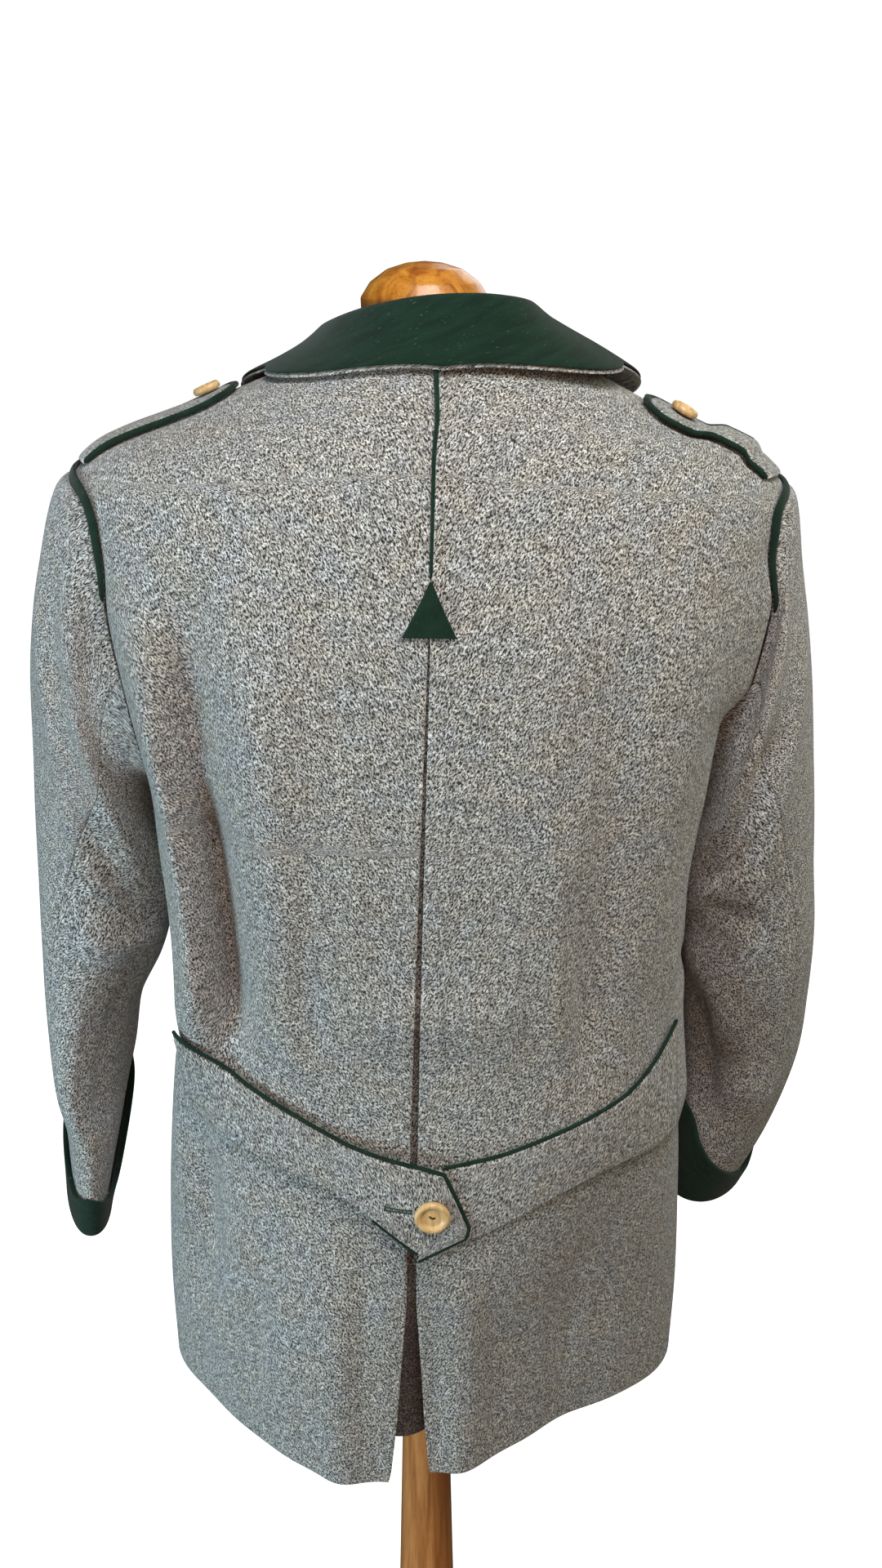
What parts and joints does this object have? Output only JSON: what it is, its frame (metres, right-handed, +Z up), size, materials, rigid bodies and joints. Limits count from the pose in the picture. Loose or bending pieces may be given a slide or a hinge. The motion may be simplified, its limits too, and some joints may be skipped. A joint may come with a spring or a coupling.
{
  "type": "tyrolean loden jacket on a dress form",
  "caption": "Grey loden jacket with green collar, cuffs, piping and a buttoned half belt, worn by a limbless dress form on a turned wooden stand.",
  "frame": {"origin": "on the floor, at the centre of the underside of the stand's round foot", "axes": "+Z up, -Y towards whoever looks at the jacket's back, +Y the way the wearer would face, +X the wearer's right"},
  "size_m": [0.5736, 0.36, 1.4892],
  "materials": {
    "loden_grey": "fulled grey melange wool, matt with a short nap",
    "felt_green": "bottle-green wool felt, matt",
    "button_wood": "pale turned wood, satin",
    "form_cover": "plain stretched linen cover",
    "cap_wood": "honey-coloured lacquered pine",
    "column_wood": "brown lacquered wood"
  },
  "bodies": {
    "root": {"back_left": "loden_grey", "back_right": "loden_grey", "front_left": "loden_grey", "front_right": "loden_grey", "pleat_underlay": "loden_grey", "top_sleeve_left": "loden_grey", "top_sleeve_right": "loden_grey", "under_sleeve_left": "loden_grey", "under_sleeve_right": "loden_grey", "under_collar": "loden_grey", "belt_left": "loden_grey", "belt_right": "loden_grey", "shoulder_strap_left": "loden_grey", "shoulder_strap_right": "loden_grey", "collar": "felt_green", "cuff_left": "felt_green", "cuff_right": "felt_green", "belt_cord_left": "felt_green", "belt_cord_right": "felt_green", "shoulder_cord_left": "felt_green", "shoulder_cord_right": "felt_green", "armhole_piping_left": "felt_green", "armhole_piping_right": "felt_green", "centre_back_piping": "felt_green", "triangle": "felt_green", "belt_button": "button_wood", "shoulder_button_left": "button_wood", "shoulder_button_right": "button_wood", "front_button_1": "button_wood", "front_button_2": "button_wood", "front_button_3": "button_wood", "front_button_4": "button_wood", "front_button_5": "button_wood", "form_torso": "form_cover", "neck_cap": "cap_wood", "column": "column_wood", "foot": "column_wood"}
  },
  "joints": []
}
